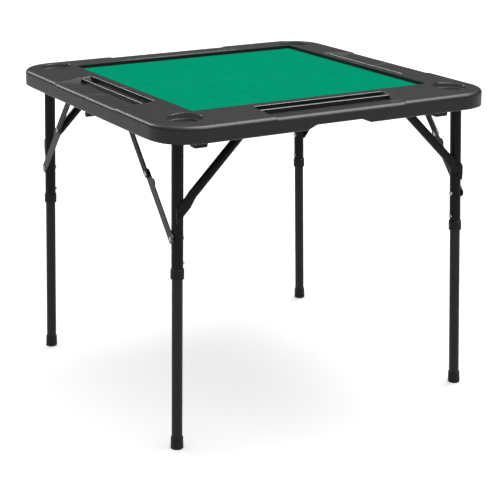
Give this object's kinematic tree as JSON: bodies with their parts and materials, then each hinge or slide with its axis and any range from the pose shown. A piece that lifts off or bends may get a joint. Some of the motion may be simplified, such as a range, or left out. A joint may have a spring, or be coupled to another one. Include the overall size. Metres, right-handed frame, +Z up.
{
  "type": "folding mahjong table",
  "caption": "Square folding game table: recessed felt field, moulded rim with tile racks and cup wells, folding tube legs with knee braces, carrying handle.",
  "frame": {"origin": "on the floor under the middle of the table", "axes": "+X along the fold seam to the right, +Y to the back, +Z up"},
  "size_m": [0.88, 0.88, 0.769],
  "materials": {
    "moulded_top": "fine texture",
    "green_cloth": "short nap",
    "black_plastic": "satin",
    "handle_plastic": "ribbed",
    "zinc": "zinc plated",
    "powder_coat": "powder coat",
    "satin_paint": "satin paint"
  },
  "bodies": {
    "front_half": {"front_panel": "moulded_top", "front_felt": "green_cloth", "front_pivot_clips": "black_plastic", "front_brace_brackets": "powder_coat", "front_hinge_leaves": "powder_coat", "front_fasteners": "zinc"},
    "front_left_leg": {"front_left_pivot_tube": "powder_coat", "front_left_upper_leg": "powder_coat", "front_left_strut": "powder_coat", "front_left_collar": "black_plastic", "front_left_leg_rivets": "zinc"},
    "front_left_leg_insert": {"front_left_lower_leg": "powder_coat", "front_left_foot": "black_plastic"},
    "front_left_button": {"front_left_snap_button": "zinc"},
    "front_left_link_upper": {"front_left_brace_upper": "powder_coat"},
    "front_left_link_lower": {"front_left_brace_lower": "satin_paint", "front_left_brace_rivets": "zinc"},
    "front_right_leg": {"front_right_pivot_tube": "powder_coat", "front_right_upper_leg": "powder_coat", "front_right_strut": "powder_coat", "front_right_collar": "black_plastic", "front_right_leg_rivets": "zinc"},
    "front_right_leg_insert": {"front_right_lower_leg": "powder_coat", "front_right_foot": "black_plastic"},
    "front_right_button": {"front_right_snap_button": "zinc"},
    "front_right_link_upper": {"front_right_brace_upper": "powder_coat"},
    "front_right_link_lower": {"front_right_brace_lower": "satin_paint", "front_right_brace_rivets": "zinc"},
    "back_half": {"back_panel": "moulded_top", "back_felt": "green_cloth", "back_pivot_clips": "black_plastic", "back_brace_brackets": "powder_coat", "back_hinge_leaves": "powder_coat", "back_fasteners": "zinc", "handle_mounts": "handle_plastic"},
    "back_left_leg": {"back_left_pivot_tube": "powder_coat", "back_left_upper_leg": "powder_coat", "back_left_strut": "powder_coat", "back_left_collar": "black_plastic", "back_left_leg_rivets": "zinc"},
    "back_left_leg_insert": {"back_left_lower_leg": "powder_coat", "back_left_foot": "black_plastic"},
    "back_left_button": {"back_left_snap_button": "zinc"},
    "back_left_link_upper": {"back_left_brace_upper": "powder_coat"},
    "back_left_link_lower": {"back_left_brace_lower": "satin_paint", "back_left_brace_rivets": "zinc"},
    "back_right_leg": {"back_right_pivot_tube": "powder_coat", "back_right_upper_leg": "powder_coat", "back_right_strut": "powder_coat", "back_right_collar": "black_plastic", "back_right_leg_rivets": "zinc"},
    "back_right_leg_insert": {"back_right_lower_leg": "powder_coat", "back_right_foot": "black_plastic"},
    "back_right_button": {"back_right_snap_button": "zinc"},
    "back_right_link_upper": {"back_right_brace_upper": "powder_coat"},
    "back_right_link_lower": {"back_right_brace_lower": "satin_paint", "back_right_brace_rivets": "zinc"},
    "handle": {"carry_handle": "handle_plastic", "handle_grip": "handle_plastic"}
  },
  "joints": [
    {"name": "half_fold", "type": "hinge", "parent": "front_half", "child": "back_half", "pos_m": [0, 0, 0.714], "axis": [1, 0, 0], "range_deg": [-50, 0]},
    {"name": "front_left_leg_fold", "type": "hinge", "parent": "front_half", "child": "front_left_leg", "pos_m": [-0.3, -0.3607, 0.725], "axis": [1, 0, 0], "range_deg": [0, 91.13]},
    {"name": "front_left_leg_slide", "type": "slide", "parent": "front_left_leg", "child": "front_left_leg_insert", "axis": [0.0288, 0.0197, 0.9994], "range_m": [0, 0.2391]},
    {"name": "front_left_button_press", "type": "slide", "parent": "front_left_leg", "child": "front_left_button", "axis": [0.9996, -0.0006, -0.0288], "range_m": [-0.003, 0], "stiffness_N_per_m": 800},
    {"name": "front_left_brace_swing", "type": "hinge", "parent": "front_half", "child": "front_left_link_upper", "pos_m": [-0.4, -0.1637, 0.725], "axis": [1, 0, 0], "range_deg": [-48.32, 0]},
    {"name": "front_left_brace_knee", "type": "hinge", "parent": "front_left_link_upper", "child": "front_left_link_lower", "pos_m": [-0.397, -0.25481, 0.62286], "axis": [1, 0, 0], "range_deg": [0, 180.18]},
    {"name": "front_right_leg_fold", "type": "hinge", "parent": "front_half", "child": "front_right_leg", "pos_m": [0.3, -0.3607, 0.725], "axis": [1, 0, 0], "range_deg": [0, 91.13]},
    {"name": "front_right_leg_slide", "type": "slide", "parent": "front_right_leg", "child": "front_right_leg_insert", "axis": [-0.0288, 0.0197, 0.9994], "range_m": [0, 0.2391]},
    {"name": "front_right_button_press", "type": "slide", "parent": "front_right_leg", "child": "front_right_button", "axis": [-0.9996, -0.0006, -0.0288], "range_m": [-0.003, 0], "stiffness_N_per_m": 800},
    {"name": "front_right_brace_swing", "type": "hinge", "parent": "front_half", "child": "front_right_link_upper", "pos_m": [0.4, -0.1637, 0.725], "axis": [1, 0, 0], "range_deg": [-48.32, 0]},
    {"name": "front_right_brace_knee", "type": "hinge", "parent": "front_right_link_upper", "child": "front_right_link_lower", "pos_m": [0.397, -0.25481, 0.62286], "axis": [1, 0, 0], "range_deg": [0, 180.18]},
    {"name": "back_left_leg_fold", "type": "hinge", "parent": "back_half", "child": "back_left_leg", "pos_m": [-0.3, 0.3607, 0.725], "axis": [-1, 0, 0], "range_deg": [0, 82]},
    {"name": "back_left_leg_slide", "type": "slide", "parent": "back_left_leg", "child": "back_left_leg_insert", "axis": [0.0288, -0.0197, 0.9994], "range_m": [0, 0.2391]},
    {"name": "back_left_button_press", "type": "slide", "parent": "back_left_leg", "child": "back_left_button", "axis": [0.9996, 0.0006, -0.0288], "range_m": [-0.003, 0], "stiffness_N_per_m": 800},
    {"name": "back_left_brace_swing", "type": "hinge", "parent": "back_half", "child": "back_left_link_upper", "pos_m": [-0.4, 0.1637, 0.725], "axis": [-1, 0, 0], "range_deg": [-46.33, 0]},
    {"name": "back_left_brace_knee", "type": "hinge", "parent": "back_left_link_upper", "child": "back_left_link_lower", "pos_m": [-0.397, 0.25481, 0.62286], "axis": [-1, 0, 0], "range_deg": [0, 167.37]},
    {"name": "back_right_leg_fold", "type": "hinge", "parent": "back_half", "child": "back_right_leg", "pos_m": [0.3, 0.3607, 0.725], "axis": [-1, 0, 0], "range_deg": [0, 82]},
    {"name": "back_right_leg_slide", "type": "slide", "parent": "back_right_leg", "child": "back_right_leg_insert", "axis": [-0.0288, -0.0197, 0.9994], "range_m": [0, 0.2391]},
    {"name": "back_right_button_press", "type": "slide", "parent": "back_right_leg", "child": "back_right_button", "axis": [-0.9996, 0.0006, -0.0288], "range_m": [-0.003, 0], "stiffness_N_per_m": 800},
    {"name": "back_right_brace_swing", "type": "hinge", "parent": "back_half", "child": "back_right_link_upper", "pos_m": [0.4, 0.1637, 0.725], "axis": [-1, 0, 0], "range_deg": [-46.33, 0]},
    {"name": "back_right_brace_knee", "type": "hinge", "parent": "back_right_link_upper", "child": "back_right_link_lower", "pos_m": [0.397, 0.25481, 0.62286], "axis": [-1, 0, 0], "range_deg": [0, 167.37]},
    {"name": "handle_swing", "type": "hinge", "parent": "back_half", "child": "handle", "pos_m": [-0.008, 0.431, 0.728], "axis": [1, 0, 0], "range_deg": [0, 180]}
  ],
  "couplings": [
    {"joint": "front_left_leg_slide", "follows": "front_left_leg_fold", "m_per_rad": 0.15027},
    {"joint": "front_left_brace_swing", "follows": "front_left_leg_fold", "ratio": -0.52967},
    {"joint": "front_left_brace_knee", "follows": "front_left_leg_fold", "ratio": 1.9752},
    {"joint": "front_right_leg_slide", "follows": "front_right_leg_fold", "m_per_rad": 0.15027},
    {"joint": "front_right_brace_swing", "follows": "front_right_leg_fold", "ratio": -0.52967},
    {"joint": "front_right_brace_knee", "follows": "front_right_leg_fold", "ratio": 1.9752},
    {"joint": "back_left_leg_slide", "follows": "back_left_leg_fold", "m_per_rad": 0.167},
    {"joint": "back_left_brace_swing", "follows": "back_left_leg_fold", "ratio": -0.56444},
    {"joint": "back_left_brace_knee", "follows": "back_left_leg_fold", "ratio": 2.039},
    {"joint": "back_right_leg_slide", "follows": "back_right_leg_fold", "m_per_rad": 0.167},
    {"joint": "back_right_brace_swing", "follows": "back_right_leg_fold", "ratio": -0.56444},
    {"joint": "back_right_brace_knee", "follows": "back_right_leg_fold", "ratio": 2.039}
  ]
}
